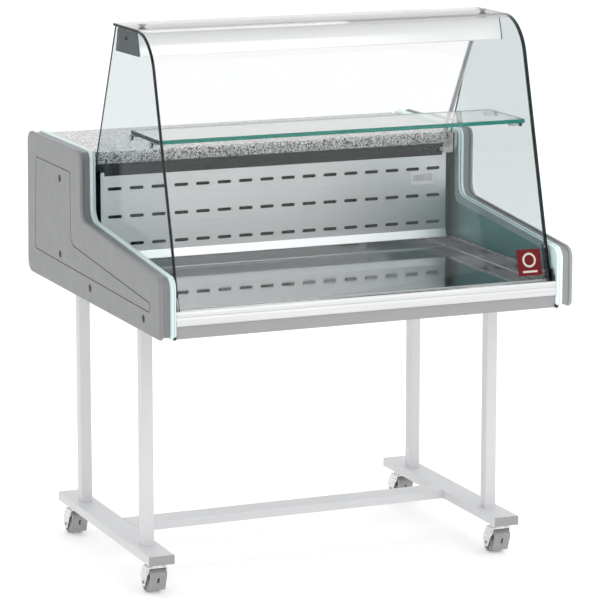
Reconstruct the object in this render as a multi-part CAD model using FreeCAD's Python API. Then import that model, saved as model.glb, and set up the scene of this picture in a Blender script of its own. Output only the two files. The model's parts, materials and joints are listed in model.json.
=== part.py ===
import FreeCAD, Part
import math
import os

V = FreeCAD.Vector

# Serve-over display case on a castored stand. Millimetres, +Z up, the customer side
# faces -Y, origin on the floor under the middle of the footprint.

# ---------------------------------------------------------------- driving dimensions
# stand
RAIL_X = 476.5          # centre line of each base rail
RAIL_W, RAIL_H = 67.0, 23.5
RAIL_WALL = 2.5
RAIL_Y0, RAIL_Y1 = -303.0, 397.0
RAIL_Z0 = 83.5
RAIL_Z1 = RAIL_Z0 + RAIL_H
CAP_T = 2.0             # flange of a plastic end cap
STRETCHER_Y = 47.0
POST_X, POST_W, POST_WALL = 476.0, 30.0, 2.0
POST_Y_FRONT, POST_Y_REAR = -192.0, 278.0
BODY_Z = 700.0          # underside of the base pan
POST_PLATE_T = 5.0

# casters
CASTER_Y = (-253.0, 347.0)
TRAIL = 20.0            # axle behind the swivel axis
WHEEL_R = 25.0
WHEEL_HALF = 20.5       # half the width over both treads
CHEEK_IN, CHEEK_OUT = 22.5, 25.0
KINGPIN_R = 4.0
AXLE_R = 4.0
PEDAL_PIVOT = (-12.5, 61.0)
RUN = 0.05              # radial running clearance

# body
SIDE_IN, SIDE_OUT = 508.0, 551.0
FRONT_Y, REAR_Y = -505.0, 505.0
PANEL_Z0, PANEL_Z1 = 694.5, 1073.0
STEP_Y = 66.0           # front edge of the tall part of a side panel
SLOPE_Z_REAR, SLOPE_Z_FRONT = 899.0, 846.0
VALLEY_X0, VALLEY_X1 = 523.0, 541.0     # hollow between the two ridges of its edge
GROOVE_X0, GROOVE_X1 = 513.0, 515.0
SEAT_R, SEAT_DEPTH = 10.0, 4.5          # countersunk seats of the panel screws
SHEET = 1.2
FASCIA_Y = -492.0
FASCIA_Z0 = 694.0
CORNER_X1 = 514.0       # outer face of the corner blocks
BUMPER_Z0 = 725.5
TRIM_HALF = 507.0       # half length of fascia and bumper
DECK_Z = 753.5
DECK_HALF = 489.0
DECK_Y0, DECK_Y1 = -470.0, 86.0
DUCT_Y = 97.6           # front face of the slotted duct panel
DUCT_HALF = 483.0
SLOT_L, SLOT_H, SLOT_PITCH = 38.0, 8.5, 59.4
SLOT_ROWS = (822.8, 894.5, 966.5)
SLOT_COUNT = 16
GRILLE_HALF, GRILLE_Z0 = 472.0, 1000.0
TOP_Z0, TOP_Z1 = 1031.0, 1062.0
TOP_Y0, TOP_Y1 = 95.0, 497.0
TRIM_X0, TRIM_X1 = 474.0, 504.4         # moulded end of the worktop, right side only
TRIM_Y0, TRIM_Y1 = 72.0, 120.0
DUCT_WALL_Y = 260.0
REAR_PANEL_Y = 476.0

# glass
GLASS_T = 6.0
GLASS_HALF = 499.0
GLASS_TOP = 1406.0
GLASS_REAR_Y = -50.0
BEND_Y, BEND_R = -218.0, 120.0
LEAN = math.radians(15.5)
GLASS_Z0 = 761.0
SIDE_GLASS_IN, SIDE_GLASS_OUT = 491.5, 497.5
PIVOT = (-486.5, 768.0)
SHELF_Z, SHELF_T = 1152.0, 10.0
SHELF_Y0, SHELF_Y1, SHELF_HALF = -348.0, -149.0, 488.5
PIN_Y = (-308.0, -168.0)

# canopy
CANOPY = ((-199.0, 1396.0), (-63.0, 1396.0), (-46.0, 1337.0), (-216.0, 1339.0))
CANOPY_HALF = 486.5
BUTTON_X, BUTTON_Y = 462.0, -158.0
LAMP_Y, LAMP_Z, LAMP_R = -130.0, 1366.0, 13.0
LAMP_HALF = 455.0
CONDUIT_X, CONDUIT_R = 484.0, 6.0
CONDUIT_FOOT, CONDUIT_HEAD = (106.0, 1062.0), (-58.0, 1336.0)

# rear services
FAN_X, FAN_Z = 220.0, 880.0
KNOB_X, KNOB_Z = 420.0, 946.0
SWITCH_X, SWITCH_Z = 330.0, 946.0
SWITCH_TILT = 7.0       # rocker's lean when off, degrees
GLAND_X, GLAND_Z = 430.0, 750.0

os.makedirs("parts", exist_ok=True)


# ---------------------------------------------------------------- shape helpers
def box(x0, x1, y0, y1, z0, z1):
    return Part.makeBox(x1 - x0, y1 - y0, z1 - z0, V(x0, y0, z0))


def cyl_x(x0, x1, y, z, r):
    return Part.makeCylinder(r, x1 - x0, V(x0, y, z), V(1, 0, 0))


def cyl_y(y0, y1, x, z, r):
    return Part.makeCylinder(r, y1 - y0, V(x, y0, z), V(0, 1, 0))


def cyl_z(z0, z1, x, y, r):
    return Part.makeCylinder(r, z1 - z0, V(x, y, z0), V(0, 0, 1))


def rounded_wire(points, radii, x):
    """Closed wire of (y, z) points in the plane X = x, each corner with its own radius."""
    corners = []
    count = len(points)
    for i in range(count):
        here = V(x, *points[i])
        back = (V(x, *points[i - 1]) - here).normalize()
        ahead = (V(x, *points[(i + 1) % count]) - here).normalize()
        radius = radii[i]
        if radius <= 0:
            corners.append((here, here, None))
            continue
        half = back.getAngle(ahead) / 2
        reach = radius / math.tan(half)
        middle = here + (back + ahead).normalize() * (radius / math.sin(half) - radius)
        corners.append((here + back * reach, here + ahead * reach, middle))
    edges = []
    for i in range(count):
        start, end, middle = corners[i]
        if middle is not None:
            edges.append(Part.Arc(start, middle, end).toShape())
        following = corners[(i + 1) % count][0]
        if end.distanceToPoint(following) > 1e-6:
            edges.append(Part.makeLine(end, following))
    return Part.Wire(edges)


def prism_x(points, x0, x1, radii=None):
    wire = rounded_wire(points, radii or [0] * len(points), x0)
    return Part.Face(wire).extrude(V(x1 - x0, 0, 0))


def mirrored(shape):
    return shape.mirror(V(0, 0, 0), V(1, 0, 0))


def fuse(first, *others):
    return first.multiFuse(list(others)).removeSplitter()


def fillet_where(shape, radius, test):
    edges = [e for e in shape.Edges if test(e.BoundBox)]
    return shape.makeFillet(radius, edges)


def save(name, shape):
    solids = shape.Solids
    assert solids, name
    for solid in solids:
        assert solid.isValid() and solid.Volume > 0, name
    out = solids[0] if len(solids) == 1 else Part.makeCompound(solids)
    out.exportStep("parts/%s.step" % name)


def save_pair(name, right):
    """Write the right-hand part and its mirror image."""
    save(name + "_right", right)
    save(name + "_left", mirrored(right))


# ---------------------------------------------------------------- stand
def flat_tube(along_x, a0, a1, across):
    """Rectangular tube lying flat at rail height, open at both ends."""
    half = RAIL_W / 2
    if along_x:
        outer = box(a0, a1, across - half, across + half, RAIL_Z0, RAIL_Z1)
        inner = box(a0, a1, across - half + RAIL_WALL, across + half - RAIL_WALL,
                    RAIL_Z0 + RAIL_WALL, RAIL_Z1 - RAIL_WALL)
        rim = fillet_where(outer, 2.0, lambda b: b.XLength > a1 - a0 - 1)
    else:
        outer = box(across - half, across + half, a0, a1, RAIL_Z0, RAIL_Z1)
        inner = box(across - half + RAIL_WALL, across + half - RAIL_WALL, a0, a1,
                    RAIL_Z0 + RAIL_WALL, RAIL_Z1 - RAIL_WALL)
        rim = fillet_where(outer, 2.0, lambda b: b.YLength > a1 - a0 - 1)
    return rim.cut(inner)


def base_rail():
    rail = flat_tube(False, RAIL_Y0 + CAP_T, RAIL_Y1 - CAP_T, RAIL_X)
    for y in CASTER_Y:
        rail = rail.cut(cyl_z(RAIL_Z0 - 1, RAIL_Z0 + 5, RAIL_X, y, 5.1))
    return rail


def end_cap(x, flange_y, inward):
    half = RAIL_W / 2
    y0, y1 = sorted((flange_y, flange_y - inward * CAP_T))
    flange = box(x - half, x + half, y0, y1, RAIL_Z0, RAIL_Z1)
    flange = fillet_where(flange, 2.0, lambda b: b.YLength > CAP_T - 0.1)
    reach = RAIL_WALL + 0.1
    y0, y1 = sorted((flange_y, flange_y + inward * 14.0))
    plug = box(x - half + reach, x + half - reach, y0, y1, RAIL_Z0 + reach, RAIL_Z1 - reach)
    hollow = box(x - half + 6, x + half - 6, y0, y1, RAIL_Z0 + 6, RAIL_Z1 - 6)
    hollow.translate(V(0, inward * 1.5, 0))
    return fuse(flange, plug.cut(hollow))


def post(x, y):
    half = POST_W / 2
    top = BODY_Z - POST_PLATE_T
    tube = box(x - half, x + half, y - half, y + half, RAIL_Z1, top)
    tube = fillet_where(tube, 2.5, lambda b: b.ZLength > 100)
    inner = half - POST_WALL
    tube = tube.cut(box(x - inner, x + inner, y - inner, y + inner, RAIL_Z1, top))
    plate = box(x - 26, x + 26, y - 45, y + 45, top, BODY_Z)
    plate = fillet_where(plate, 8.0, lambda b: b.ZLength > POST_PLATE_T - 0.1)
    for dy in (-32, 32):
        plate = plate.cut(cyl_z(top - 1, BODY_Z + 1, x, y + dy, 4.5))
    return fuse(tube, plate)


def caster_top(x, y):
    """Fixed part of a caster: top plate, clamping stud in the rail, kingpin below."""
    plate = box(x - 23, x + 23, y - 23, y + 23, RAIL_Z0 - 3, RAIL_Z0)
    plate = fillet_where(plate, 7.0, lambda b: b.ZLength > 2.9)
    stud = cyl_z(RAIL_Z0, RAIL_Z0 + 14, x, y, 5.0)
    nut = cyl_z(RAIL_Z0 + RAIL_WALL, RAIL_Z0 + RAIL_WALL + 7, x, y, 8.5)
    kingpin = cyl_z(66.5, RAIL_Z0 - 3, x, y, KINGPIN_R)
    head = cyl_z(63.5, 66.5, x, y, 7.0)
    return fuse(plate, stud, nut, kingpin, head)


def caster_yoke(x, y):
    """Swivelling fork: crown with bearing race and two cheeks swept back to the axle."""
    race = cyl_z(71.0, 79.5, x, y, 21.0)
    race = race.makeFillet(3.0, [race.Edges[0]])
    bridge = box(x - CHEEK_OUT, x + CHEEK_OUT, y - 19, y + 17, 68.0, 71.0)
    outline = [(y - 19, 71), (y + 17, 71), (y + 37, 44), (y + 35, 15), (y + 12, 13),
               (y - 9, 48), (y - 19, 56)]
    cheek = prism_x(outline, x + CHEEK_IN, x + CHEEK_OUT, [2, 6, 10, 12, 10, 12, 4])
    other = prism_x(outline, x - CHEEK_OUT, x - CHEEK_IN, [2, 6, 10, 12, 10, 12, 4])
    yoke = fuse(race, bridge, cheek, other)
    yoke = yoke.cut(cyl_z(60, 90, x, y, KINGPIN_R + RUN))
    yoke = yoke.cut(cyl_x(x - 30, x + 30, y + TRAIL, WHEEL_R, AXLE_R + RUN))
    return yoke.cut(cyl_x(x - 30, x + 30, y + PEDAL_PIVOT[0], PEDAL_PIVOT[1], 2.5 + RUN))


def caster_wheels(x, y):
    """Twin treads on one axle."""
    cy = y + TRAIL
    treads = []
    for side in (-1, 1):
        x0, x1 = sorted((x + side * 2.0, x + side * WHEEL_HALF))
        tread = cyl_x(x0, x1, cy, WHEEL_R, WHEEL_R)
        tread = tread.makeFillet(3.5, [e for e in tread.Edges if e.BoundBox.ZLength > 49
                                       and e.BoundBox.XLength < 0.1])
        dish_x = x1 - 2.0 if side > 0 else x0
        treads.append(tread.cut(cyl_x(dish_x, dish_x + 2.0, cy, WHEEL_R, 17.0)))
    hub = cyl_x(x - 2.5, x + 2.5, cy, WHEEL_R, 10.0)
    axle = cyl_x(x - CHEEK_OUT - 1.5, x + CHEEK_OUT + 1.5, cy, WHEEL_R, AXLE_R)
    boss = cyl_x(x - 22.2, x + 22.2, cy, WHEEL_R, 7.0)
    return fuse(treads[0], treads[1], hub, axle, boss)


def caster_pedal(x, y):
    """Brake pedal hung from the fork in front of the treads."""
    outline = [(y - 9, 66.5), (y - 14, 66.5), (y - 27, 58), (y - 29, 51), (y - 13, 9),
               (y - 9, 10), (y - 21, 50), (y - 16, 56.5), (y - 9, 57)]
    blade = prism_x(outline, x - 21.5, x + 21.5, [2, 3, 4, 5, 1.5, 1.5, 6, 4, 2])
    window = box(x - 3.0, x + 3.0, y - 40, y, 30, 44)
    pin = cyl_x(x - 24.8, x + 24.8, y + PEDAL_PIVOT[0], PEDAL_PIVOT[1], 2.5)
    return fuse(blade.cut(window), pin)


save_pair("base_rail", base_rail())
save("cross_stretcher", flat_tube(True, -RAIL_X + RAIL_W / 2, RAIL_X - RAIL_W / 2, STRETCHER_Y))
caps = [end_cap(sx * RAIL_X, y, inward) for sx in (-1, 1)
        for y, inward in ((RAIL_Y0 + CAP_T, 1), (RAIL_Y1 - CAP_T, -1))]
save("rail_end_caps", Part.makeCompound(caps))
CORNERS = [(sx * RAIL_X, y, "%s_%s" % (row, hand))
           for y, row in zip(CASTER_Y, ("front", "rear"))
           for sx, hand in ((-1, "left"), (1, "right"))]
for sx, hand in ((-1, "left"), (1, "right")):
    save("post_front_" + hand, post(sx * POST_X, POST_Y_FRONT))
    save("post_rear_" + hand, post(sx * POST_X, POST_Y_REAR))
save("caster_top_plates", Part.makeCompound([caster_top(x, y) for x, y, _ in CORNERS]))
for x, y, where in CORNERS:
    save("caster_yoke_" + where, caster_yoke(x, y))
    save("caster_wheels_" + where, caster_wheels(x, y))
    save("caster_pedal_" + where, caster_pedal(x, y))


# ---------------------------------------------------------------- side panels
def panel_outline():
    points = [(FRONT_Y, PANEL_Z0), (REAR_Y, PANEL_Z0), (REAR_Y - 13, PANEL_Z1),
              (STEP_Y, PANEL_Z1), (STEP_Y, SLOPE_Z_REAR), (FRONT_Y, SLOPE_Z_FRONT)]
    return points, [16, 30, 28, 22, 32, 32]


def panel_slab(x0, x1, inset=0.0):
    """Slice of a side panel, its outline drawn in by inset."""
    points, radii = panel_outline()
    wire = rounded_wire(points, radii, x0)
    if inset > 0:
        wire = wire.makeOffset2D(-inset)
    return Part.Face(wire).extrude(V(x1 - x0, 0, 0))


def soften(slab, x, radius):
    """Round the whole rim of a slice at the plane X = x."""
    return fillet_where(slab, radius, lambda b: b.XLength < 0.01 and abs(b.XMin - x) < 0.01)


SCREW_YZ = ((228.0, 981.0), (232.0, 783.0), (0.0, 735.0), (-390.0, 730.0))


def side_panel():
    """Hollow moulding: ridged edge, engraved line on the face and four deep screw seats."""
    outer = soften(panel_slab(VALLEY_X1, SIDE_OUT), SIDE_OUT, 6.0)
    outer = soften(outer, VALLEY_X1, 3.5)
    valley = panel_slab(VALLEY_X0, VALLEY_X1, 5.0)
    ridge = soften(panel_slab(GROOVE_X1, VALLEY_X0), VALLEY_X0, 5.0)
    groove = panel_slab(GROOVE_X0, GROOVE_X1, 7.0)
    rib = soften(panel_slab(SIDE_IN, GROOVE_X0, 2.5), SIDE_IN, 2.5)
    panel = fuse(outer, valley, ridge, groove, rib)
    panel = panel.cut(panel_slab(SIDE_IN + 3, SIDE_OUT - 8, 11.0))
    panel = panel.cut(box(SIDE_IN - 1, SIDE_IN + 4, 290, 450, 760, 980))
    panel = panel.cut(box(SIDE_IN - 1, CORNER_X1 + 0.3, -498.5, -478.5, 690, 703.5))
    line_points = [(-437, 751), (441, 765), (420, 1013), (144, 1011), (144, 825), (-437, 777)]
    line = rounded_wire(line_points, [7, 14, 9, 6, 30, 8], SIDE_OUT - 2.5)
    ring = Part.Face(line).cut(Part.Face(line.makeOffset2D(-3.2)))
    panel = panel.cut(ring.extrude(V(4, 0, 0)))
    for y, z in SCREW_YZ:
        panel = panel.cut(cyl_x(SIDE_OUT - SEAT_DEPTH, SIDE_OUT + 1, y, z, SEAT_R))
        panel = panel.cut(cyl_x(SIDE_OUT - 9, SIDE_OUT, y, z, 2.6))
    return panel


def panel_screw(y, z):
    seat = SIDE_OUT - SEAT_DEPTH
    head = cyl_x(seat, seat + 2.6, y, z, 6.5)
    socket = box(seat + 1.2, seat + 3, y - 0.8, y + 0.8, z - 4.5, z + 4.5)
    return fuse(head.cut(socket), cyl_x(seat - 15, seat, y, z, 2.5))


def fascia_corner():
    """Small black block that closes the corner between the fascia's foot and a side panel."""
    return box(TRIM_HALF + 0.3, CORNER_X1, -498, -479, 693.5, 703)


save_pair("side_panel", side_panel())
screws = [panel_screw(y, z) for y, z in SCREW_YZ]
save("side_panel_screws", Part.makeCompound(screws + [mirrored(s) for s in screws]))
block = fascia_corner()
save("fascia_corner_blocks", Part.makeCompound([block, mirrored(block)]))


# ---------------------------------------------------------------- base and front
def base_pan():
    floor = box(-502.5, 502.5, FASCIA_Y + 2, REAR_PANEL_Y, BODY_Z, BODY_Z + 1.5)
    sides = []
    for sx in (-1, 1):
        x0, x1 = sorted((sx * 490.5, sx * 502.5))
        channel = box(x0, x1, -465, 92, BODY_Z, 785)
        sides.append(channel.cut(box(x0 + 1.5, x1 - 1.5, -466, 93, BODY_Z + 1.5, 783.5)))
    return fuse(floor, *sides)


def front_fascia():
    face = box(-TRIM_HALF, TRIM_HALF, FASCIA_Y, FASCIA_Y + 1.5, FASCIA_Z0, 757.5)
    foot = box(-TRIM_HALF, TRIM_HALF, FASCIA_Y, FASCIA_Y + 30, FASCIA_Z0, FASCIA_Z0 + 1.5)
    lip = box(-TRIM_HALF, TRIM_HALF, FASCIA_Y + 28.5, FASCIA_Y + 30, FASCIA_Z0, BODY_Z)
    return fuse(face, foot, lip)


def bumper_profile():
    """Extruded trim: a broad convex band under a narrow bead."""
    y, z = FASCIA_Y, BUMPER_Z0
    band = [(y, z), (y - 5.5, z), (y - 8.5, z + 4), (y - 8.5, z + 16), (y - 5.5, z + 21.5),
            (y, z + 21.5)]
    bead = [(y, z + 21), (y - 5.0, z + 21), (y - 7.5, z + 24), (y - 7.5, z + 30),
            (y - 4.5, z + 36), (y, z + 36)]
    lower = prism_x(band, -TRIM_HALF, TRIM_HALF, [0, 2, 6, 8, 2, 0])
    upper = prism_x(bead, -TRIM_HALF, TRIM_HALF, [0, 1, 4, 4, 3, 0])
    return fuse(lower, upper)


def glass_sill():
    y = FASCIA_Y + 1.5
    outline = [(y, 735), (-470.2, 735), (-470.2, 764), (-473.2, 764), (-473.2, 757.5),
               (y, 757.5)]
    bar = prism_x(outline, -TRIM_HALF, TRIM_HALF, [0, 0, 1, 1, 2, 0])
    return bar.cut(prism_x([(y + 3, 738), (-473.2, 738), (-473.2, 754.5), (y + 3, 754.5)],
                           -TRIM_HALF, TRIM_HALF))


def deck_tray():
    """Shallow stainless tray with upstands all round."""
    t = SHEET
    pan = box(-DECK_HALF, DECK_HALF, DECK_Y0, DECK_Y1, DECK_Z - t, 780)
    pan = fillet_where(pan, 5.0, lambda b: b.ZLength < 0.1 and b.ZMin < DECK_Z)
    inner = box(-DECK_HALF + t, DECK_HALF - t, DECK_Y0 + t, DECK_Y1 - t, DECK_Z, 790)
    inner = fillet_where(inner, 3.8, lambda b: b.ZLength < 0.1 and b.ZMin < DECK_Z + 1)
    front_cut = box(-DECK_HALF - 1, DECK_HALF + 1, DECK_Y0 - 1, DECK_Y0 + 12, 763, 790)
    return pan.cut(inner).cut(front_cut)


def deck_bearers():
    """Top-hat channels that carry the deck tray over the base pan."""
    z0, z1 = BODY_Z + 1.5, DECK_Z - SHEET
    bearers = []
    for y in (-420.0, -190.0, 40.0):
        hat = box(-480, 480, y - 20, y + 20, z0, z1)
        hat = hat.cut(box(-480, 480, y - 18.8, y + 18.8, z0, z1 - 1.2))
        feet = box(-480, 480, y - 34, y - 19, z0, z0 + 1.2)
        other = box(-480, 480, y + 19, y + 34, z0, z0 + 1.2)
        bearers.append(fuse(hat, feet, other))
    return Part.makeCompound(bearers)


def inner_wall():
    """Liner sheet on the inside of a side panel, inset from the panel's edge."""
    points = [(-468, 762), (170, 762), (170, TOP_Z0 - 2), (STEP_Y + 22, TOP_Z0 - 2),
              (STEP_Y + 22, SLOPE_Z_REAR - 21), (-468, SLOPE_Z_FRONT - 18)]
    sheet = prism_x(points, SIDE_IN - 1.2, SIDE_IN - 0.1, [0, 0, 0, 0, 26, 14])
    screws = [cyl_x(SIDE_IN - 3.0, SIDE_IN - 1.2, y, z, 3.5)
              for y, z in ((-395, 806), (6, 806))]
    return fuse(sheet, *screws)


save("base_pan", base_pan())
save_pair("inner_wall", inner_wall())
save("deck_bearers", deck_bearers())
save("front_fascia", front_fascia())
save("bumper_profile", bumper_profile())
save("glass_sill", glass_sill())
save("deck_tray", deck_tray())


# ---------------------------------------------------------------- air duct and worktop
def obround(x, z, y0, y1):
    straight = (SLOT_L - SLOT_H) / 2
    r = SLOT_H / 2
    return fuse(box(x - straight, x + straight, y0, y1, z - r, z + r),
                cyl_y(y0, y1, x - straight, z, r), cyl_y(y0, y1, x + straight, z, r))


def back_duct_panel():
    y = DUCT_Y
    face = box(-DUCT_HALF, DUCT_HALF, y, y + SHEET, 801, GRILLE_Z0)
    kick = prism_x([(y, 802), (y + SHEET, 801.6), (91.4, 780.6), (90, 780.6)],
                   -DUCT_HALF, DUCT_HALF)
    hem = box(-DUCT_HALF, DUCT_HALF, 90, 104, 780.6, 781.8)
    top = box(-DUCT_HALF, DUCT_HALF, y, y + 16, GRILLE_Z0 - SHEET, GRILLE_Z0)
    ears = [box(x0, x0 + 10, y, y + SHEET, GRILLE_Z0 - SHEET, 1009.5)
            for x0 in (-DUCT_HALF, DUCT_HALF - 10)]
    slots = [obround((i - (SLOT_COUNT - 1) / 2) * SLOT_PITCH, z, y - 1, y + 3)
             for i in range(SLOT_COUNT) for z in SLOT_ROWS]
    return fuse(face, kick, hem, top, *ears).cut(Part.makeCompound(slots))


def outlet_grille():
    """Channel with two rows of holes: the warm air leaves here, under the worktop's edge."""
    y = DUCT_Y + 0.6
    body = box(-GRILLE_HALF, GRILLE_HALF, y, y + 10, GRILLE_Z0, TOP_Z0)
    body = body.cut(box(-GRILLE_HALF, GRILLE_HALF, y + 1.5, y + 11, GRILLE_Z0 + 1.5, TOP_Z0 - 1.5))
    left_end = box(-491, -GRILLE_HALF, 100, 106, 1013, TOP_Z0)
    right_end = box(GRILLE_HALF, TRIM_X0 - 0.5, 100, 106, 1013, TOP_Z0)
    count = 90
    holes = [cyl_y(y - 1, y + 3, (i - (count - 1) / 2) * 10.4, z, 2.0)
             for i in range(count) for z in (1009.0, 1022.0)]
    return fuse(body.cut(Part.makeCompound(holes)), left_end, right_end)


def granite_worktop():
    """Stone slab, slotted both sides for the panes and notched at the right for the moulding."""
    slab = box(-503, 503, TOP_Y0, TOP_Y1, TOP_Z0, TOP_Z1)
    slab = slab.cut(box(TRIM_X0 - 0.5, 504, TOP_Y0 - 1, TRIM_Y1 + 0.5, TOP_Z0 - 1, TOP_Z1 + 1))
    slab = slab.cut(box(-SIDE_GLASS_OUT - 0.6, -SIDE_GLASS_IN + 0.6, TOP_Y0 - 1, 119,
                        TOP_Z0 - 1, TOP_Z1 + 1))
    front = lambda b: b.YLength < 0.1 and abs(b.YMin - TOP_Y0) < 0.1 and b.XLength > 900
    slab = fillet_where(slab, 9.0, lambda b: front(b) and b.ZMin > TOP_Z0 + 1)
    slab = fillet_where(slab, 5.0, lambda b: front(b) and b.ZMax < TOP_Z1 - 20)
    return fillet_where(slab, 3.0, lambda b: b.YMin > TOP_Y1 - 0.1 and b.XLength > 900)


def end_trim():
    """Moulded corner at the right front end of the worktop: a curved L-shaped lip in front
    of a block that carries the conduit, slotted for the side pane."""
    block = box(TRIM_X0, TRIM_X1, TRIM_Y0, TRIM_Y1, 1010, TOP_Z1)
    block = fillet_where(block, 22.0, lambda b: b.YLength > 20 and b.XMin > TRIM_X1 - 1
                         and b.ZMax < 1011)
    recess = box(TRIM_X0 - 1, 489.5, TRIM_Y0 - 1, TOP_Y0 + 0.5, 1023, TOP_Z1 + 1)
    recess = fillet_where(recess, 12.0, lambda b: b.YLength > 20 and b.XMin > 489
                          and b.ZMax < 1024)
    foot = box(TRIM_X0 - 11, TRIM_X0, TRIM_Y0, TOP_Y0 - 0.5, 1010, 1023)
    foot = fillet_where(foot, 5.0, lambda b: b.YLength > 20 and b.XMax < TRIM_X0 - 10)
    trim = fuse(block.cut(recess), foot)
    return trim.cut(box(SIDE_GLASS_IN - 0.3, SIDE_GLASS_OUT + 0.3, TRIM_Y0 - 1, 113.5,
                        1009, TOP_Z1 + 1))


save("back_duct_panel", back_duct_panel())
save("outlet_grille", outlet_grille())
save("granite_worktop", granite_worktop())
save("worktop_end_trim", end_trim())


# ---------------------------------------------------------------- rear services
def duct_rear_wall():
    wall = box(-502, 502, DUCT_WALL_Y, DUCT_WALL_Y + 1.5, BODY_Z + 1.5, TOP_Z0)
    for sx in (-1, 1):
        wall = wall.cut(cyl_y(DUCT_WALL_Y - 1, DUCT_WALL_Y + 3, sx * FAN_X, FAN_Z, 56))
    return wall


def fan_frame(x):
    y0 = DUCT_WALL_Y + 1.5
    frame = box(x - 59.5, x + 59.5, y0, y0 + 25, FAN_Z - 59.5, FAN_Z + 59.5)
    frame = fillet_where(frame, 6.0, lambda b: b.YLength > 24)
    frame = frame.cut(cyl_y(y0 - 1, y0 + 26, x, FAN_Z, 56.0))
    for dx in (-52.5, 52.5):
        for dz in (-52.5, 52.5):
            frame = frame.cut(cyl_y(y0 - 1, y0 + 26, x + dx, FAN_Z + dz, 2.2))
    motor = cyl_y(y0 + 21.5, y0 + 25, x, FAN_Z, 21)
    stub = cyl_y(y0 + 8, y0 + 22, x, FAN_Z, 2.5)
    arms = [box(x - 58, x + 58, y0 + 22, y0 + 24.5, FAN_Z - 3, FAN_Z + 3),
            box(x - 3, x + 3, y0 + 22, y0 + 24.5, FAN_Z - 58, FAN_Z + 58)]
    return fuse(frame, motor, stub, *arms)


def fan_rotor(x):
    y0 = DUCT_WALL_Y + 3.5
    hub = cyl_y(y0, y0 + 18.5, x, FAN_Z, 20)
    blades = []
    for i in range(7):
        blade = Part.makeBox(22, 1.8, 36, V(-11, -0.9, 17))
        blade.rotate(V(0, 0, 0), V(0, 0, 1), 35)
        blade.rotate(V(0, 0, 0), V(0, 1, 0), i * 360.0 / 7)
        blade.translate(V(x, y0 + 9.2, FAN_Z))
        blades.append(blade)
    rotor = fuse(hub, *blades)
    return rotor.cut(cyl_y(y0 + 2, y0 + 20, x, FAN_Z, 2.5 + RUN))


def heating_element():
    """Finned tubular element: two runs joined by a return bend, tails through the wall."""
    y, z0, z1, x_end = 180.0, 862.0, 898.0, 430.0
    runs = [cyl_x(-x_end, x_end, y, z, 4.0) for z in (z0, z1)]
    tails = [cyl_y(y, DUCT_WALL_Y, -x_end, z, 4.0) for z in (z0, z1)]
    knees = [Part.makeSphere(4.0, V(-x_end, y, z)) for z in (z0, z1)]
    bend = Part.makeTorus((z1 - z0) / 2, 4.0, V(x_end, y, (z0 + z1) / 2), V(0, 1, 0))
    bend = bend.common(box(x_end, x_end + 40, y - 10, y + 10, z0 - 10, z1 + 10))
    fins = [box(x - 0.6, x + 0.6, y - 18, y + 18, z0 - 19, z1 + 19)
            for x in range(-396, 397, 36)]
    stays = [box(x - 0.6, x + 0.6, y + 17, DUCT_WALL_Y, 872, 888) for x in (-360, 0, 360)]
    return fuse(runs[0], runs[1], bend, *(tails + knees + fins + stays))


def rear_panel():
    panel = box(-502.5, 502.5, REAR_PANEL_Y, REAR_PANEL_Y + 1.5, BODY_Z, TOP_Z0)
    vents = [box(x0, x0 + 130, REAR_PANEL_Y - 1, REAR_PANEL_Y + 3, z, z + 6)
             for x0 in (-430, -270, -110) for z in range(760, 900, 18)]
    windows = [box(SWITCH_X - 16, SWITCH_X + 16, REAR_PANEL_Y - 1, REAR_PANEL_Y + 3,
                   SWITCH_Z - 18, SWITCH_Z + 18),
               cyl_y(REAR_PANEL_Y - 1, REAR_PANEL_Y + 3, KNOB_X, KNOB_Z, 8.0),
               cyl_y(REAR_PANEL_Y - 1, REAR_PANEL_Y + 3, GLAND_X, GLAND_Z, 10.0)]
    return panel.cut(Part.makeCompound(vents + windows))


def control_panel():
    y0 = REAR_PANEL_Y + 1.5
    plate = box(290, 465, y0, y0 + 5, 905, 990)
    plate = fillet_where(plate, 6.0, lambda b: b.YLength > 4.9)
    plate = plate.cut(box(SWITCH_X - 11, SWITCH_X + 11, y0 - 1, y0 + 6,
                          SWITCH_Z - 14.5, SWITCH_Z + 14.5))
    plate = plate.cut(cyl_x(SWITCH_X - 13, SWITCH_X + 13, y0 + 2.5, SWITCH_Z, 1.5 + RUN))
    return plate.cut(cyl_y(y0 - 1, y0 + 6, KNOB_X, KNOB_Z, 3.0 + RUN))


def thermostat_knob():
    y0 = REAR_PANEL_Y + 6.8
    grip = cyl_y(y0, y0 + 15, KNOB_X, KNOB_Z, 18)
    grip = fillet_where(grip, 2.0, lambda b: b.YLength < 0.1 and b.YMin > y0 + 14)
    for i in range(12):
        angle = math.radians(15 + 30 * i)
        grip = grip.cut(cyl_y(y0 + 3, y0 + 20, KNOB_X + 19.5 * math.cos(angle),
                              KNOB_Z + 19.5 * math.sin(angle), 3.0))
    pointer = box(KNOB_X - 1.2, KNOB_X + 1.2, y0 + 14, y0 + 16, KNOB_Z + 2, KNOB_Z + 15)
    shaft = cyl_y(REAR_PANEL_Y - 14, y0 + 2, KNOB_X, KNOB_Z, 3.0)
    return fuse(grip, pointer, shaft)


def power_switch():
    y0 = REAR_PANEL_Y + 4.0
    outline = [(y0 - 2, SWITCH_Z - 11), (y0 + 7, SWITCH_Z - 13), (y0 + 4.6, SWITCH_Z),
               (y0 + 7, SWITCH_Z + 13), (y0 - 2, SWITCH_Z + 11)]
    rocker = prism_x(outline, SWITCH_X - 10.5, SWITCH_X + 10.5, [1, 1.5, 6, 1.5, 1])
    rocker = fuse(rocker, cyl_x(SWITCH_X - 12.8, SWITCH_X + 12.8, y0, SWITCH_Z, 1.5))
    rocker.rotate(V(SWITCH_X, y0, SWITCH_Z), V(1, 0, 0), SWITCH_TILT)
    return rocker


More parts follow.
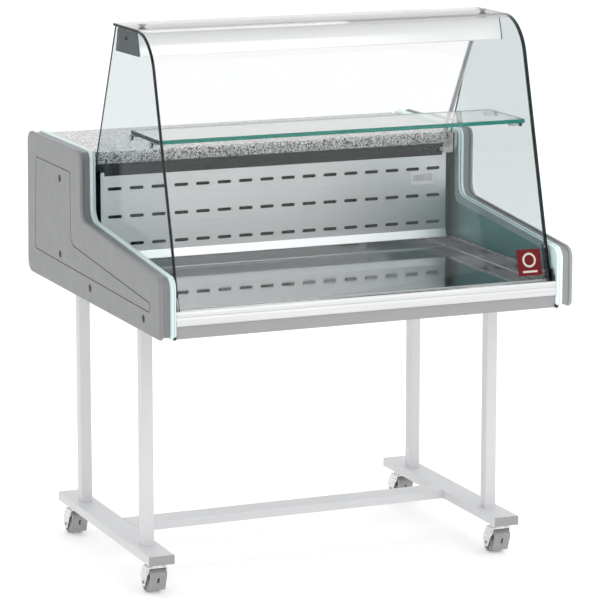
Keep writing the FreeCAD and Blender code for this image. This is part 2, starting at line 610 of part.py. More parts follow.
def cable_gland():
    y0 = REAR_PANEL_Y
    thread = cyl_y(y0 - 8, y0 + 2, GLAND_X, GLAND_Z, 9.9)
    lock = cyl_y(y0 - 6, y0, GLAND_X, GLAND_Z, 14)
    flange = cyl_y(y0 + 1.5, y0 + 7, GLAND_X, GLAND_Z, 13)
    dome = Part.makeCone(11.5, 8.5, 14, V(GLAND_X, y0 + 7, GLAND_Z), V(0, 1, 0))
    body = fuse(thread, lock, flange, dome)
    return body.cut(cyl_y(y0 - 10, y0 + 30, GLAND_X, GLAND_Z, 5.0))


save("duct_rear_wall", duct_rear_wall())
for sx, hand in ((-1, "left"), (1, "right")):
    save("fan_frame_" + hand, fan_frame(sx * FAN_X))
    save("fan_rotor_" + hand, fan_rotor(sx * FAN_X))
save("heating_element", heating_element())
save("rear_panel", rear_panel())
save("control_panel", control_panel())
save("thermostat_knob", thermostat_knob())
save("power_switch", power_switch())
save("cable_gland", cable_gland())


# ---------------------------------------------------------------- glass
def glass_line(inset):
    """Key points of the bent front pane, moved inward from its outer face by inset."""
    radius = BEND_R - inset
    centre = (BEND_Y, GLASS_TOP - BEND_R)
    turn = math.pi / 2 - LEAN
    top = (BEND_Y, GLASS_TOP - inset)
    middle = (centre[0] - radius * math.sin(turn / 2), centre[1] + radius * math.cos(turn / 2))
    low = (centre[0] - radius * math.cos(LEAN), centre[1] + radius * math.sin(LEAN))
    return top, middle, low


def on_slope(inset, z):
    """Y of the sloping face of the front pane at height z."""
    low = glass_line(inset)[2]
    return low[0] - (low[1] - z) * math.tan(LEAN)


def bent_edges(inset, start, end):
    """Edges from start along the pane's flat top, round the bend and down to end."""
    top, middle, low = [V(0, *p) for p in glass_line(inset)]
    return [Part.makeLine(V(0, *start), top), Part.Arc(top, middle, low).toShape(),
            Part.makeLine(low, V(0, *end))]


def extrude_between(wire, x0, x1):
    wire.translate(V(x0, 0, 0))
    return Part.Face(wire).extrude(V(x1 - x0, 0, 0))


def front_glass():
    out_end = (on_slope(0, GLASS_Z0), GLASS_Z0)
    in_end = (on_slope(GLASS_T, GLASS_Z0), GLASS_Z0)
    out_start = (GLASS_REAR_Y, GLASS_TOP)
    in_start = (GLASS_REAR_Y, GLASS_TOP - GLASS_T)
    outer = bent_edges(0, out_start, out_end)
    inner = bent_edges(GLASS_T, in_start, in_end)
    ends = [Part.makeLine(V(0, *out_end), V(0, *in_end)),
            Part.makeLine(V(0, *in_start), V(0, *out_start))]
    wire = Part.Wire(Part.__sortEdges__(outer + inner + ends))
    pane = extrude_between(wire, -GLASS_HALF, GLASS_HALF)
    for x in (-BUTTON_X, BUTTON_X):
        pane = pane.cut(cyl_z(GLASS_TOP - 20, GLASS_TOP + 5, x, BUTTON_Y, 4.6))
    return pane


def side_glass():
    inset = GLASS_T + 1.0
    notch_z = 847.0
    start = (-60.0, GLASS_TOP - inset)
    edges = bent_edges(inset, start, (on_slope(inset, notch_z), notch_z))
    rest = [(on_slope(inset, notch_z), notch_z), (on_slope(20, notch_z), notch_z),
            (on_slope(20, 785.0), 785.0), (112.5, 785.0), (112.5, 1012.0), start]
    edges += [Part.makeLine(V(0, *a), V(0, *b)) for a, b in zip(rest, rest[1:])]
    pane = extrude_between(Part.Wire(Part.__sortEdges__(edges)), SIDE_GLASS_IN, SIDE_GLASS_OUT)
    pin_z = SHELF_Z - SHELF_T - 6.0
    for y in PIN_Y:
        pane = pane.cut(cyl_x(SIDE_GLASS_IN - 1, SIDE_GLASS_OUT + 1, y, pin_z, 4.2))
    return pane


def shelf_pin(y):
    z = SHELF_Z - SHELF_T - 6.0
    pin = cyl_x(465, SIDE_GLASS_IN - 3, y, z, 6.0)
    for x in (472.0, 480.0):
        ring = cyl_x(x, x + 1.6, y, z, 7.0).cut(cyl_x(x - 1, x + 3, y, z, 4.9))
        pin = pin.cut(ring)
    collar = cyl_x(SIDE_GLASS_IN - 3, SIDE_GLASS_IN, y, z, 5.8)
    through = cyl_x(SIDE_GLASS_IN - 1, SIDE_GLASS_OUT + 0.5, y, z, 4.0)
    washer = cyl_x(SIDE_GLASS_OUT, SIDE_GLASS_OUT + 2.5, y, z, 8.5)
    return fuse(pin, collar, through, washer)


def glass_arm():
    """Shoe bonded behind the lower corner of the front pane, with its pivot cheek."""
    y_in = lambda z: on_slope(GLASS_T, z)
    shoe = prism_x([(y_in(762), 762), (y_in(841), 841), (y_in(841) + 8.3, 841),
                    (y_in(775) + 8.3, 775), (y_in(762) + 5, 762)],
                   SIDE_GLASS_IN, 501.8, [0, 0, 3, 3, 2])
    for z in range(775, 840, 13):
        shoe = shoe.cut(cyl_y(-540, -440, SIDE_GLASS_IN - 0.5, z, 3.0))
    cheek = prism_x([(PIVOT[0] - 7, 761.3), (PIVOT[0] + 9, 761.3), (PIVOT[0] + 14, 792),
                     (PIVOT[0] - 1, 792), (PIVOT[0] - 7, 776)],
                    499.4, 501.8, [4, 3, 3, 3, 4])
    screws = [cyl_y(y_in(z) + 6, y_in(z) + 9.6, GLASS_HALF - 1.5, z, 2.3)
              for z in (786, 806, 826)]
    arm = fuse(shoe, cheek, *screws)
    return arm.cut(cyl_x(499, 503, PIVOT[0], PIVOT[1], 3.0 + RUN))


def hinge_base():
    front, rear = FASCIA_Y + 0.3, PIVOT[0] + 8.5
    plate = prism_x([(front, 757.5), (rear, 757.5), (rear, 775), (front, 775)],
                    502.1, SIDE_IN - 0.4, [0, 0, 6, 4])
    return fuse(plate, cyl_x(499.6, 502.6, PIVOT[0], PIVOT[1], 3.0))


def glass_button(x):
    """Locating button through the flat top of the pane, standing on the canopy."""
    stem = cyl_z(CANOPY[0][1] + 0.3, GLASS_TOP + 4, x, BUTTON_Y, 4.0)
    foot = cyl_z(CANOPY[0][1] + 0.3, GLASS_TOP - GLASS_T, x, BUTTON_Y, 8.0)
    collar = cyl_z(GLASS_TOP, GLASS_TOP + 1.5, x, BUTTON_Y, 6.5)
    disc = cyl_z(GLASS_TOP + 3.5, GLASS_TOP + 7.5, x, BUTTON_Y, 9.5)
    disc = fillet_where(disc, 1.0, lambda b: b.ZMin > GLASS_TOP + 7)
    return fuse(stem, foot, collar, disc)


save("front_glass", front_glass())
save_pair("side_glass", side_glass())
arm = glass_arm()
save("glass_arms", Part.makeCompound([arm, mirrored(arm)]))
base = hinge_base()
save("hinge_bases", Part.makeCompound([base, mirrored(base)]))
save("glass_buttons", Part.makeCompound([glass_button(-BUTTON_X), glass_button(BUTTON_X)]))
save("glass_shelf", box(-SHELF_HALF, SHELF_HALF, SHELF_Y0, SHELF_Y1, SHELF_Z - SHELF_T,
                        SHELF_Z))
pins = [shelf_pin(y) for y in PIN_Y]
save("shelf_pins", Part.makeCompound(pins + [mirrored(p) for p in pins]))


# ---------------------------------------------------------------- canopy
def canopy_profile():
    outer = prism_x(CANOPY, -CANOPY_HALF, CANOPY_HALF, [4, 2, 2, 4])
    hollow_wire = rounded_wire(CANOPY, [4, 2, 2, 4], -CANOPY_HALF).makeOffset2D(-2)
    hollow = Part.Face(hollow_wire).extrude(V(2 * CANOPY_HALF, 0, 0))
    opening = box(-CANOPY_HALF, CANOPY_HALF, -194, -68, 1330, 1345)
    return outer.cut(hollow).cut(opening)


def canopy_end():
    plate = prism_x(CANOPY, CANOPY_HALF, CANOPY_HALF + 3, [4, 2, 2, 4])
    socket = box(LAMP_HALF, CANOPY_HALF, LAMP_Y - 15, LAMP_Y + 15, LAMP_Z - 16, LAMP_Z + 20)
    bore = cyl_x(LAMP_HALF - 1, LAMP_HALF + 10.5, LAMP_Y, LAMP_Z, 2.6)
    screw = cyl_x(CANOPY_HALF + 3, SIDE_GLASS_IN, -127, 1376, 5.0)
    slit = box(SIDE_GLASS_IN - 0.6, SIDE_GLASS_IN, -127.8, -126.2, 1372, 1380)
    return fuse(plate, socket.cut(bore), screw.cut(slit))


def lamp_tube():
    glass = cyl_x(-LAMP_HALF, LAMP_HALF, LAMP_Y, LAMP_Z, LAMP_R)
    pins = [cyl_x(x0, x0 + 9.5, LAMP_Y, LAMP_Z, 2.5) for x0 in (-LAMP_HALF - 9.5, LAMP_HALF)]
    return fuse(glass, *pins)


def cable_conduit():
    foot = V(CONDUIT_X, *CONDUIT_FOOT)
    head = V(CONDUIT_X, *CONDUIT_HEAD)
    run = head - foot
    start = foot - run * 0.1
    tube = Part.makeCylinder(CONDUIT_R, run.Length * 1.2, start, run)
    tube = tube.cut(Part.makeCylinder(CONDUIT_R - 1, run.Length * 1.2, start, run))
    tube = tube.common(box(CONDUIT_X - 20, CONDUIT_X + 20, -200, 200, foot.z, head.z))
    flange = cyl_z(foot.z, foot.z + 3, CONDUIT_X, foot.y, 7.0)
    flange = flange.cut(cyl_z(foot.z - 1, foot.z + 4, CONDUIT_X, foot.y, 5.6))
    return fuse(tube, flange)


save("canopy_profile", canopy_profile())
end = canopy_end()
save("canopy_ends", Part.makeCompound([end, mirrored(end)]))
save("lamp_tube", lamp_tube())
save("cable_conduit", cable_conduit())
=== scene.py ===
import json
import math

import bmesh
import bpy
from mathutils import Matrix, Vector


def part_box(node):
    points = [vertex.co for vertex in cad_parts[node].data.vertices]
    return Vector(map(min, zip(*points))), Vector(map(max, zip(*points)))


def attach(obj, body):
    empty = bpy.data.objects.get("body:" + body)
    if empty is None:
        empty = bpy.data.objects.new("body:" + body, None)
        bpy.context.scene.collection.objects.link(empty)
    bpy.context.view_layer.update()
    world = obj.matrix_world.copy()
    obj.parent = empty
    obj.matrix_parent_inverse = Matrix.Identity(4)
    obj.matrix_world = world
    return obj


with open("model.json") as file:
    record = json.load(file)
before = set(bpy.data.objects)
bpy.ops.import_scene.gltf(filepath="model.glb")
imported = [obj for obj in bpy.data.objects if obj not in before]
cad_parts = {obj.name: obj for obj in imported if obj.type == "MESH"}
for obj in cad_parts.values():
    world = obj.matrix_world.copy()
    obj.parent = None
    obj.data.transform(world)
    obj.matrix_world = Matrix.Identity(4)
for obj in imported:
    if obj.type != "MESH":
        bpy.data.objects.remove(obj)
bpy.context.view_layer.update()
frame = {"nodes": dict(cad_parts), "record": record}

# Looks of the serve-over display case, in metres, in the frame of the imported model:
# floor at z = 0, customer side towards -Y, operator side towards +Y.
LEAN = math.radians(15.5)           # lean of the sloping front pane
PANE_PAINTED_SHADE_Y = (-0.260, -0.050)      # stretch of the front pane that carries painted shade, from its bend to its rear
PANE_PAINTED_BORDER_X = (0.4938, 0.4950)    # where the dark border painted near the front pane's X ends begins and is full: painted shade that widens the look of its cut edges
CANOPY_PAINTED_LIGHT_Z = (1.360, 1.367)      # painted light on the canopy's front, standing in for the lamp's light on it, fades out between these
CANOPY_PAINTED_LIGHT_X = (-0.05, 0.35)
CANOPY_PAINTED_LIGHT_Y = (-0.194, -0.180)
PANEL_DEPTH_X = (0.505, 0.555)      # inner and outer side of a side panel, from the middle
MOULD_GRAIN, MOULD_DEPTH = 1600, 0.00006    # cells per metre and relief of moulded plastic
PANEL_PAINTED_LIGHT = (0.84, 1.24)           # painted shade on the left panel and painted light on the right one, as factors on their colour
STICKER = (0.443, 0.810)            # x and z of the sticker on the front pane
LABEL = (0.4155, 0.9415)            # x and z of the label on the duct panel
DUCT_FACE_Y = 0.0976
FLOOR_HALF = 40                     # metres
CAMERA_AT = (-3.0939, -7.3789, 2.2453)
CAMERA_LOOK = (0.38166, 0.90369, -0.19412)
CAMERA_LENS, CAMERA_SENSOR = 189.18, 36     # millimetres


# ---------------------------------------------------------------- node helpers
class Surface:
    """A Principled material with helpers for its procedural detail."""

    def __init__(self, name, colour, roughness, metallic=0.0):
        self.material = bpy.data.materials.new(name)
        self.material.use_nodes = True
        self.tree = self.material.node_tree
        self.shader = self.tree.nodes["Principled BSDF"]
        self.output = self.tree.nodes["Material Output"]
        self.place = self.tree.nodes.new("ShaderNodeTexCoord").outputs["Object"]
        self.set("Base Color", (*colour, 1.0))
        self.set("Roughness", roughness)
        self.set("Metallic", metallic)

    def set(self, socket, value):
        self.shader.inputs[socket].default_value = value

    def link(self, source, target):
        self.tree.links.new(source, target)

    def feed(self, source, socket):
        self.link(source, self.shader.inputs[socket])

    def stretched(self, scale):
        mapping = self.tree.nodes.new("ShaderNodeMapping")
        mapping.inputs["Scale"].default_value = scale
        self.link(self.place, mapping.inputs["Vector"])
        return mapping.outputs["Vector"]

    def noise(self, scale, detail=2.0, stretch=(1, 1, 1), distortion=0.0):
        node = self.tree.nodes.new("ShaderNodeTexNoise")
        node.inputs["Scale"].default_value = scale
        node.inputs["Detail"].default_value = detail
        node.inputs["Distortion"].default_value = distortion
        self.link(self.stretched(stretch), node.inputs["Vector"])
        return node.outputs["Fac"]

    def cells(self, scale, output="Distance", feature="F1", stretch=(1, 1, 1)):
        node = self.tree.nodes.new("ShaderNodeTexVoronoi")
        node.feature = feature
        node.inputs["Scale"].default_value = scale
        self.link(self.stretched(stretch), node.inputs["Vector"])
        return node.outputs[output]

    def maths(self, operation, a, b=0.0):
        node = self.tree.nodes.new("ShaderNodeMath")
        node.operation = operation
        for socket, value in zip(node.inputs, (a, b)):
            if isinstance(value, (int, float)):
                socket.default_value = value
            else:
                self.link(value, socket)
        return node.outputs["Value"]

    def ramp(self, factor, *stops):
        node = self.tree.nodes.new("ShaderNodeValToRGB")
        elements = node.color_ramp.elements
        while len(elements) < len(stops):
            elements.new(0.5)
        for element, (position, colour) in zip(elements, stops):
            element.position = position
            element.color = (*colour, 1.0)
        self.link(factor, node.inputs["Fac"])
        return node.outputs["Color"]

    def range(self, factor, low, high, start=0.3, end=0.7):
        node = self.tree.nodes.new("ShaderNodeMapRange")
        for socket, value in (("From Min", start), ("From Max", end), ("To Min", low),
                              ("To Max", high)):
            node.inputs[socket].default_value = value
        self.link(factor, node.inputs["Value"])
        return node.outputs["Result"]

    def bump(self, height, distance):
        node = self.tree.nodes.new("ShaderNodeBump")
        node.inputs["Strength"].default_value = 1.0
        node.inputs["Distance"].default_value = distance
        self.link(height, node.inputs["Height"])
        self.feed(node.outputs["Normal"], "Normal")

    def multiply(self, a, b, amount=1.0):
        node = self.tree.nodes.new("ShaderNodeMix")
        node.data_type = "RGBA"
        node.blend_type = "MULTIPLY"
        node.inputs["Factor"].default_value = amount
        self.link(a, node.inputs["A"])
        self.link(b, node.inputs["B"])
        return node.outputs["Result"]

    def position(self, axis):
        split = self.tree.nodes.new("ShaderNodeSeparateXYZ")
        self.link(self.place, split.inputs["Vector"])
        return split.outputs[axis]

    def facing(self, axis):
        """How squarely the surface faces along an axis of the part, from 0 to 1."""
        coordinates = self.tree.nodes.new("ShaderNodeTexCoord")
        split = self.tree.nodes.new("ShaderNodeSeparateXYZ")
        self.link(coordinates.outputs["Normal"], split.inputs["Vector"])
        return self.maths("ABSOLUTE", split.outputs[axis])


def grey(value):
    return (value, value, value)


# ---------------------------------------------------------------- materials
def powder_coat(name, colour, roughness=0.42):
    s = Surface(name, colour, roughness)
    peel = s.noise(1100, 2)
    drift = s.noise(9, 3)
    s.feed(s.ramp(drift, (0.3, [c * 0.965 for c in colour]), (0.7, colour)), "Base Color")
    s.feed(s.range(peel, roughness - 0.06, roughness + 0.08), "Roughness")
    s.bump(peel, 0.00012)
    return s.material


def moulded(name, colour, roughness=0.45):
    s = Surface(name, colour, roughness)
    pebble = s.cells(MOULD_GRAIN)
    drift = s.noise(14, 4)
    s.feed(s.ramp(drift, (0.3, [c * 0.95 for c in colour]), (0.7, colour)), "Base Color")
    s.feed(s.range(drift, roughness - 0.05, roughness + 0.06), "Roughness")
    s.bump(pebble, MOULD_DEPTH)
    return s.material


def brushed(name, colour, roughness, grain=(2, 90, 900), metallic=1.0, depth=0.00002):
    s = Surface(name, colour, roughness, metallic)
    lines = s.noise(1.0, 5, stretch=grain)
    smudge = s.noise(6, 4, distortion=0.6)
    s.feed(s.ramp(lines, (0.25, [c * 0.86 for c in colour]), (0.75, colour)), "Base Color")
    wear = s.maths("ADD", s.range(lines, -0.05, 0.06), s.range(smudge, -0.03, 0.05))
    s.feed(s.maths("ADD", wear, roughness), "Roughness")
    s.bump(lines, depth)
    return s.material


def zinc(name):
    s = Surface(name, (0.72, 0.73, 0.74), 0.28, 1.0)
    spangle = s.cells(220, "Color")
    tone = s.noise(160, 3)
    s.feed(s.ramp(tone, (0.3, (0.60, 0.61, 0.62)), (0.7, (0.80, 0.81, 0.82))), "Base Color")
    s.feed(s.range(spangle, 0.22, 0.40, 0.0, 1.0), "Roughness")
    s.bump(tone, 0.00003)
    return s.material


def rubber(name, colour):
    s = Surface(name, colour, 0.62)
    dust = s.noise(70, 5)
    scuff = s.noise(500, 4)
    s.feed(s.ramp(dust, (0.35, colour), (0.75, [c * 1.5 for c in colour])), "Base Color")
    s.feed(s.range(dust, 0.55, 0.75), "Roughness")
    s.bump(scuff, 0.00015)
    return s.material


def granite(name):
    """Salt-and-pepper stone: black, grey and white crystals of a few millimetres."""
    s = Surface(name, grey(0.45), 0.16)
    crystals = s.cells(330, "Color")
    flecks = s.cells(520, "Color", stretch=(1.0, 1.3, 0.8))
    pits = s.cells(420)
    base = s.ramp(crystals, (0.0, grey(0.015)), (0.24, grey(0.05)), (0.34, grey(0.42)),
                  (0.62, grey(0.60)), (0.80, grey(0.86)))
    pepper = s.ramp(flecks, (0.16, grey(0.02)), (0.22, grey(1.0)))
    s.feed(s.multiply(base, pepper, 0.9), "Base Color")
    s.feed(s.range(pits, 0.06, 0.22, 0.0, 0.6), "Roughness")
    s.bump(pits, 0.00004)
    return s.material


def glass(name, edges, front_edge, side_edge, tint, index, painted_bend_line=False):
    """Float glass: clear through its faces, coloured along its cut edges.

    edges is "sides" for a pane whose large faces look along X, "ends" for one cut at its
    two X ends and "rim" for a level shelf. front_edge colours cut faces that look along Y
    or Z, side_edge those that look along X. painted_bend_line paints shade on the pane behind
    its bend and a dark border near its X ends, standing in for refraction and reflection."""
    s = Surface(name, tint, 0.02)
    s.set("Transmission Weight", 1.0)
    s.set("IOR", index)
    haze = s.noise(25, 3)
    s.feed(s.range(haze, 0.0, 0.02), "Roughness")
    if painted_bend_line:
        # Painted shade and painted reflection: by its place along Y the pane turns grey over its
        # flat top, with a dark line just behind the bend, in place of the refraction and
        # reflection there.
        back = s.range(s.position("Y"), 0.0, 1.0, *PANE_PAINTED_SHADE_Y)
        shade = s.ramp(back, (0.024, tint), (0.062, grey(0.70)), (0.114, grey(0.66)),
                       (0.162, grey(0.42)), (0.200, grey(0.11)), (0.257, grey(0.15)),
                       (0.333, grey(0.39)), (0.438, grey(0.53)), (1.0, grey(0.73)))
        # Painted shade: a dark green border near the pane's X ends widens the look of its cut
        # edges, in place of the refraction that darkens them.
        border = s.range(s.maths("ABSOLUTE", s.position("X")), 0.0, 1.0, *PANE_PAINTED_BORDER_X)
        edge_painted_shade = s.ramp(border, (0.0, grey(1.0)), (1.0, (0.02, 0.07, 0.06)))
        s.feed(s.multiply(shade, edge_painted_shade), "Base Color")
    edge = s.tree.nodes.new("ShaderNodeBsdfPrincipled")
    across = s.facing("X")
    streaks = s.noise(120, 3)
    tone = s.ramp(across, (0.45, front_edge), (0.55, side_edge))
    depth = s.ramp(streaks, (0.3, grey(0.72)), (0.7, grey(1.0)))
    s.link(s.multiply(tone, depth), edge.inputs["Base Color"])
    edge.inputs["Roughness"].default_value = 0.4
    edge.inputs["Specular IOR Level"].default_value = 0.1
    clear = s.tree.nodes.new("ShaderNodeBsdfTransparent")
    clear.inputs["Color"].default_value = (*tint, 1.0)
    rays = s.tree.nodes.new("ShaderNodeLightPath")
    through = s.tree.nodes.new("ShaderNodeMixShader")
    s.link(rays.outputs["Is Shadow Ray"], through.inputs["Fac"])
    s.link(s.shader.outputs["BSDF"], through.inputs[1])
    s.link(clear.outputs["BSDF"], through.inputs[2])
    sides = s.tree.nodes.new("ShaderNodeMixShader")
    if edges == "sides":
        share = s.maths("LESS_THAN", across, 0.5)
    elif edges == "rim":
        share = s.maths("LESS_THAN", s.facing("Z"), 0.5)
    else:
        share = s.maths("GREATER_THAN", across, 0.5)
    s.link(share, sides.inputs["Fac"])
    s.link(through.outputs["Shader"], sides.inputs[1])
    s.link(edge.outputs["BSDF"], sides.inputs[2])
    s.link(sides.outputs["Shader"], s.output.inputs["Surface"])
    return s.material


def clear_plastic(name, colour):
    """Clear moulded resin: its rims refract dark against a pale ground."""
    s = Surface(name, colour, 0.08)
    s.set("Transmission Weight", 0.85)
    s.set("IOR", 1.49)
    cloud = s.noise(180, 3)
    s.feed(s.range(cloud, 0.04, 0.16), "Roughness")
    return s.material


def glowing(name, colour, strength):
    s = Surface(name, colour, 0.5)
    frost = s.noise(300, 2)
    s.feed(s.range(frost, 0.4, 0.6), "Roughness")
    s.set("Emission Color", (*colour, 1.0))
    s.set("Emission Strength", strength)
    return s.material


def canopy_coat_with_painted_light(name):
    """White satin coating with painted light: it emits at the front, most along its lower left,
    standing in for light falling on it.
    """
    s = Surface(name, (0.82, 0.825, 0.82), 0.4)
    s.set("Emission Color", (1.0, 1.0, 1.0, 1.0))
    low = s.range(s.position("Z"), 0.27, 0.0, *CANOPY_PAINTED_LIGHT_Z)
    left = s.range(s.position("X"), 1.0, 0.0, *CANOPY_PAINTED_LIGHT_X)
    front = s.range(s.position("Y"), 1.0, 0.0, *CANOPY_PAINTED_LIGHT_Y)
    # Painted light: emission strength on the front face, strongest low on the left.
    glow = s.maths("ADD", s.maths("MULTIPLY", low, left), 0.34)
    s.feed(s.maths("MULTIPLY", glow, front), "Emission Strength")
    s.feed(s.range(s.noise(900, 2), 0.34, 0.46), "Roughness")
    return s.material


def ridged_panel(name):
    """Satin side panels with painted highlights on the inner ridge and the outer round-over, and
    painted light that makes the right panel lighter than the left.
    """
    s = Surface(name, grey(0.28), 0.42)
    # Painted highlights across the panel's depth: near-white on the inner ridge, a lighter band
    # on the outer round-over, grey between.
    across = s.range(s.maths("ABSOLUTE", s.position("X")), 0.0, 1.0, *PANEL_DEPTH_X)
    tone = s.ramp(across, (0.355, (0.80, 0.95, 0.95)), (0.375, (0.225, 0.235, 0.240)),
                  (0.70, (0.235, 0.245, 0.250)), (0.74, (0.270, 0.275, 0.280)))
    drift = s.ramp(s.noise(14, 4), (0.3, grey(0.95)), (0.7, grey(1.0)))
    # Painted light: the colour is scaled from 0.84 on the left panel to 1.24 on the right.
    painted_light_left_to_right = s.range(s.position("X"), *PANEL_PAINTED_LIGHT, -0.55, 0.55)
    s.feed(s.multiply(s.multiply(tone, drift), painted_light_left_to_right), "Base Color")
    s.feed(s.range(s.noise(30, 3), 0.38, 0.47), "Roughness")
    s.bump(s.cells(MOULD_GRAIN), MOULD_DEPTH)
    return s.material


def split_shoe(name):
    """Near-black at the right end, bare aluminium at the left."""
    s = Surface(name, grey(0.5), 0.4)
    side = s.range(s.position("X"), 0.0, 1.0, -0.1, 0.1)
    s.feed(s.ramp(side, (0.4, (0.42, 0.43, 0.43)), (0.6, (0.010, 0.016, 0.016))), "Base Color")
    s.feed(s.range(s.noise(700, 3), 0.36, 0.5), "Roughness")
    return s.material


def printed(name, colour, roughness=0.5):
    s = Surface(name, colour, roughness)
    s.set("Specular IOR Level", 0.15)
    fibre = s.noise(400, 4)
    s.feed(s.ramp(fibre, (0.3, [c * 0.93 for c in colour]), (0.7, colour)), "Base Color")
    s.bump(fibre, 0.00002)
    return s.material


FINISH = {
    "stand_paint": powder_coat("stand_paint", (0.65, 0.655, 0.665)),
    "cap_plastic": moulded("cap_plastic", (0.33, 0.33, 0.335)),
    "zinc_steel": zinc("zinc_steel"),
    "caster_tread": rubber("caster_tread", (0.22, 0.22, 0.222)),
    "caster_plastic": moulded("caster_plastic", (0.31, 0.305, 0.31), 0.4),
    "panel_abs": ridged_panel("panel_abs"),
    "dark_plastic": moulded("dark_plastic", (0.012, 0.013, 0.014), 0.45),
    "galvanised_sheet": zinc("galvanised_sheet"),
    "fascia_paint": powder_coat("fascia_paint", (0.33, 0.33, 0.335), 0.5),
    "anodised_trim": brushed("anodised_trim", (0.73, 0.735, 0.74), 0.36, (3, 500, 500), 0.35),
    "stainless": brushed("stainless", (0.81, 0.82, 0.83), 0.36, (3, 400, 700)),
    "grille_black": powder_coat("grille_black", (0.014, 0.018, 0.019), 0.6),
    "granite": granite("granite"),
    "lamp_white": glowing("lamp_white", (0.95, 0.95, 0.93), 0.6),
    "pin_plastic": clear_plastic("pin_plastic", (0.80, 0.84, 0.84)),
}
INK = (0.006, 0.014, 0.014)
GREEN_INK = (0.022, 0.060, 0.052)
# Painted shade: the duct's rear wall and heating element are near-black, so the slots of the
# duct panel show shade behind them.
DUCT_PAINTED_SHADE = moulded("duct_painted_shade", (0.055, 0.057, 0.058), 0.6)
SPECIAL = {
    "deck_tray": brushed("deck_polish", (0.37, 0.39, 0.395), 0.06, (4, 300, 300), 1.0, 0.000003),
    "front_glass": glass("front_pane_glass", "ends", GREEN_INK, INK, (0.845, 0.852, 0.850),
                         1.25, painted_bend_line=True),
    "side_glass_left": glass("side_pane_glass", "sides", (0.10, 0.115, 0.115), INK,
                             (0.71, 0.755, 0.765), 1.08),
    "glass_shelf": glass("shelf_glass", "rim", (0.022, 0.320, 0.255), (0.020, 0.032, 0.032),
                         (0.93, 0.96, 0.95), 1.30),
    "inner_wall_left": brushed("liner_steel", (0.45, 0.86, 0.84), 0.42, (3, 400, 700), 0.6),
    "canopy_profile": canopy_coat_with_painted_light("canopy_white_painted_light"),
    "glass_arms": split_shoe("arm_shoe"),
    "duct_rear_wall": DUCT_PAINTED_SHADE,
    "heating_element": DUCT_PAINTED_SHADE,
    "canopy_ends": moulded("canopy_end_grey", (0.085, 0.100, 0.105), 0.5),
    "worktop_end_trim": moulded("end_trim_grey", (0.55, 0.555, 0.56), 0.4),
    "glass_buttons": brushed("button_steel", (0.50, 0.50, 0.505), 0.4, (200, 200, 200)),
}
for node in ("inner_wall", "side_glass"):
    SPECIAL[node + "_right"] = SPECIAL[node + "_left"]

for entry in frame["record"]["subparts"]:
    node = entry["node"]
    look = SPECIAL.get(node) or FINISH[entry["material_slot"]]
    slots = frame["nodes"][node].material_slots
    if not slots:
        frame["nodes"][node].data.materials.append(look)
    for slot in slots:
        slot.material = look


# ---------------------------------------------------------------- mesh helpers
def piece(name, mesh_builder, look, body):
    """A new object from a function that fills a bmesh, riding on a body of the part."""
    mesh = bpy.data.meshes.new(name)
    bm = bmesh.new()
    mesh_builder(bm)
    bmesh.ops.recalc_face_normals(bm, faces=bm.faces)
    bm.to_mesh(mesh)
    bm.free()
    obj = bpy.data.objects.new(name, mesh)
    bpy.context.scene.collection.objects.link(obj)
    mesh.materials.append(look)
    mesh.shade_smooth()
    mesh.set_sharp_from_angle(angle=math.radians(40))
    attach(obj, body)


# ---------------------------------------------------------------- stickers
def oblong(width, height, radius, x=0.0, z=0.0):
    """Rounded rectangle about (x, z) as a ring of points."""
    points = []
    for sx, sz, start in ((1, 1, 0), (-1, 1, 90), (-1, -1, 180), (1, -1, 270)):
        for step in range(5):
            angle = math.radians(start + 22.5 * step)
            points.append((x + sx * (width / 2 - radius) + radius * math.cos(angle),
                           z + sz * (height / 2 - radius) + radius * math.sin(angle)))
    return points


def hoop(outer, inner, x=0.0, z=0.0, count=32):
    """Flat ring as short quadrilaterals."""
    def on(radius, i):
        angle = 2 * math.pi * i / count
        return (x + radius * math.cos(angle), z + radius * math.sin(angle))
    return [[on(outer, i), on(outer, i + 1), on(inner, i + 1), on(inner, i)]
            for i in range(count)]


def printed_layer(name, centre, tilt, outlines, colour, body, thickness=0.0002):
    """Flat printed shapes facing -Y on a surface that leans back by tilt."""
    turn = Matrix.Translation(centre) @ Matrix.Rotation(-tilt, 4, "X")

    def build(bm):
        faces = [bm.faces.new([bm.verts.new((x, 0, z)) for x, z in outline])
                 for outline in outlines]
        lifted = bmesh.ops.extrude_face_region(bm, geom=faces)["geom"]
        verts = [v for v in lifted if isinstance(v, bmesh.types.BMVert)]
        bmesh.ops.translate(bm, verts=verts, vec=(0, -thickness, 0))
        bmesh.ops.transform(bm, matrix=turn, verts=bm.verts)
    piece(name, build, printed(name, colour), body)


pane_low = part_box("front_glass")[0]
slope_y = pane_low.y + (STICKER[1] - pane_low.z) * math.tan(LEAN)
for name, lift, outlines, colour in (
        ("sticker_red", 0.0002, [oblong(0.066, 0.066, 0.002)], (0.135, 0.006, 0.008)),
        ("sticker_mark", 0.0005, hoop(0.0185, 0.0135, 0.0, 0.006)
         + [oblong(0.040, 0.005, 0.001, 0.0, -0.023)], (0.62, 0.58, 0.50))):
    printed_layer(name, (STICKER[0], slope_y - lift, STICKER[1]), LEAN, outlines, colour,
                  "front_pane")

trim_low, trim_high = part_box("worktop_end_trim")


def stone_end(bm):
    """Front face of the stone shown inside the curve of the moulded end."""
    size = Vector((0.0155, 0.0006, 0.0308))
    centre = Vector((trim_low.x + 0.0185, 0.0949, trim_high.z - 0.0156))
    bmesh.ops.create_cube(bm, size=1.0, matrix=Matrix.Translation(centre)
                          @ Matrix.Diagonal((*size, 1.0)))


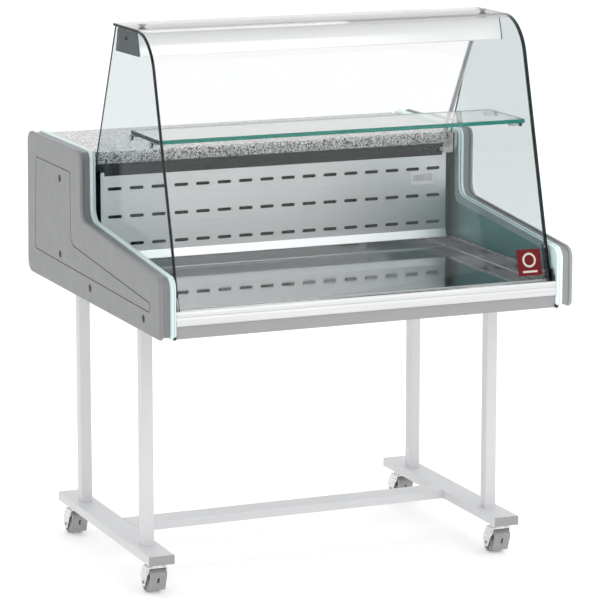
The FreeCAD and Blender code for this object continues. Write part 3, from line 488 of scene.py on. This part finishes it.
piece("worktop_end_stone", stone_end, FINISH["granite"], "case")
BAR_WIDTHS = (1, 2, 1, 1, 3, 1, 2, 2, 1, 3, 1, 1, 2, 1)
bars = []
bar_x = -0.029
for width in BAR_WIDTHS:
    bar_x += 0.0006 * width
    bars.append(oblong(0.0007 * width, 0.017, 0.0002, bar_x, 0.001))
    bar_x += 0.0006 * width + 0.0007
lines = [oblong(0.020, 0.0016, 0.0003, 0.018, z) for z in (0.009, 0.004, -0.001, -0.006)]
printed_layer("label_blank", (LABEL[0], DUCT_FACE_Y - 0.0002, LABEL[1]), 0.0,
              [oblong(0.067, 0.033, 0.002)], (0.93, 0.94, 0.94), "case")
printed_layer("label_bars", (LABEL[0], DUCT_FACE_Y - 0.0005, LABEL[1]), 0.0, bars + lines,
              (0.42, 0.42, 0.43), "case")


# ---------------------------------------------------------------- stage
def stage():
    world = bpy.data.worlds.new("studio")
    world.use_nodes = True
    background = world.node_tree.nodes["Background"]
    background.inputs["Color"].default_value = (1.0, 1.0, 1.0, 1.0)
    background.inputs["Strength"].default_value = 1.0
    bpy.context.scene.world = world
    bpy.context.scene.view_settings.view_transform = "Standard"
    mesh = bpy.data.meshes.new("floor")
    bm = bmesh.new()
    bmesh.ops.create_grid(bm, x_segments=1, y_segments=1, size=FLOOR_HALF)
    bm.to_mesh(mesh)
    bm.free()
    floor = bpy.data.objects.new("floor", mesh)
    bpy.context.scene.collection.objects.link(floor)
    s = Surface("floor_pale", (0.92, 0.92, 0.92), 0.7)
    s.feed(s.range(s.noise(3, 3), 0.65, 0.75), "Roughness")
    s.set("Emission Color", (1.0, 1.0, 1.0, 1.0))
    s.set("Emission Strength", 0.20)
    mesh.materials.append(s.material)


def softbox(name, position, target, size, power):
    light = bpy.data.lights.new(name, "AREA")
    light.shape = "RECTANGLE"
    light.size, light.size_y = size
    light.energy = power
    obj = bpy.data.objects.new(name, light)
    obj.location = position
    obj.rotation_euler = (Vector(target) - Vector(position)).to_track_quat("-Z", "Y").to_euler()
    bpy.context.scene.collection.objects.link(obj)


def camera():
    data = bpy.data.cameras.new("camera")
    data.lens = CAMERA_LENS
    data.sensor_width = CAMERA_SENSOR
    data.clip_end = 100
    obj = bpy.data.objects.new("camera", data)
    obj.location = CAMERA_AT
    obj.rotation_euler = Vector(CAMERA_LOOK).to_track_quat("-Z", "Y").to_euler()
    bpy.context.scene.collection.objects.link(obj)
    bpy.context.scene.camera = obj


stage()
softbox("key", (1.2, -5.0, 3.8), (0, 0, 0.8), (3.0, 3.0), 45)
softbox("fill", (4.0, -1.5, 2.8), (0, 0, 0.8), (3.0, 2.5), 12)
softbox("rear", (0.5, 4.5, 3.5), (0, 0, 0.9), (3.5, 2.0), 20)
camera()
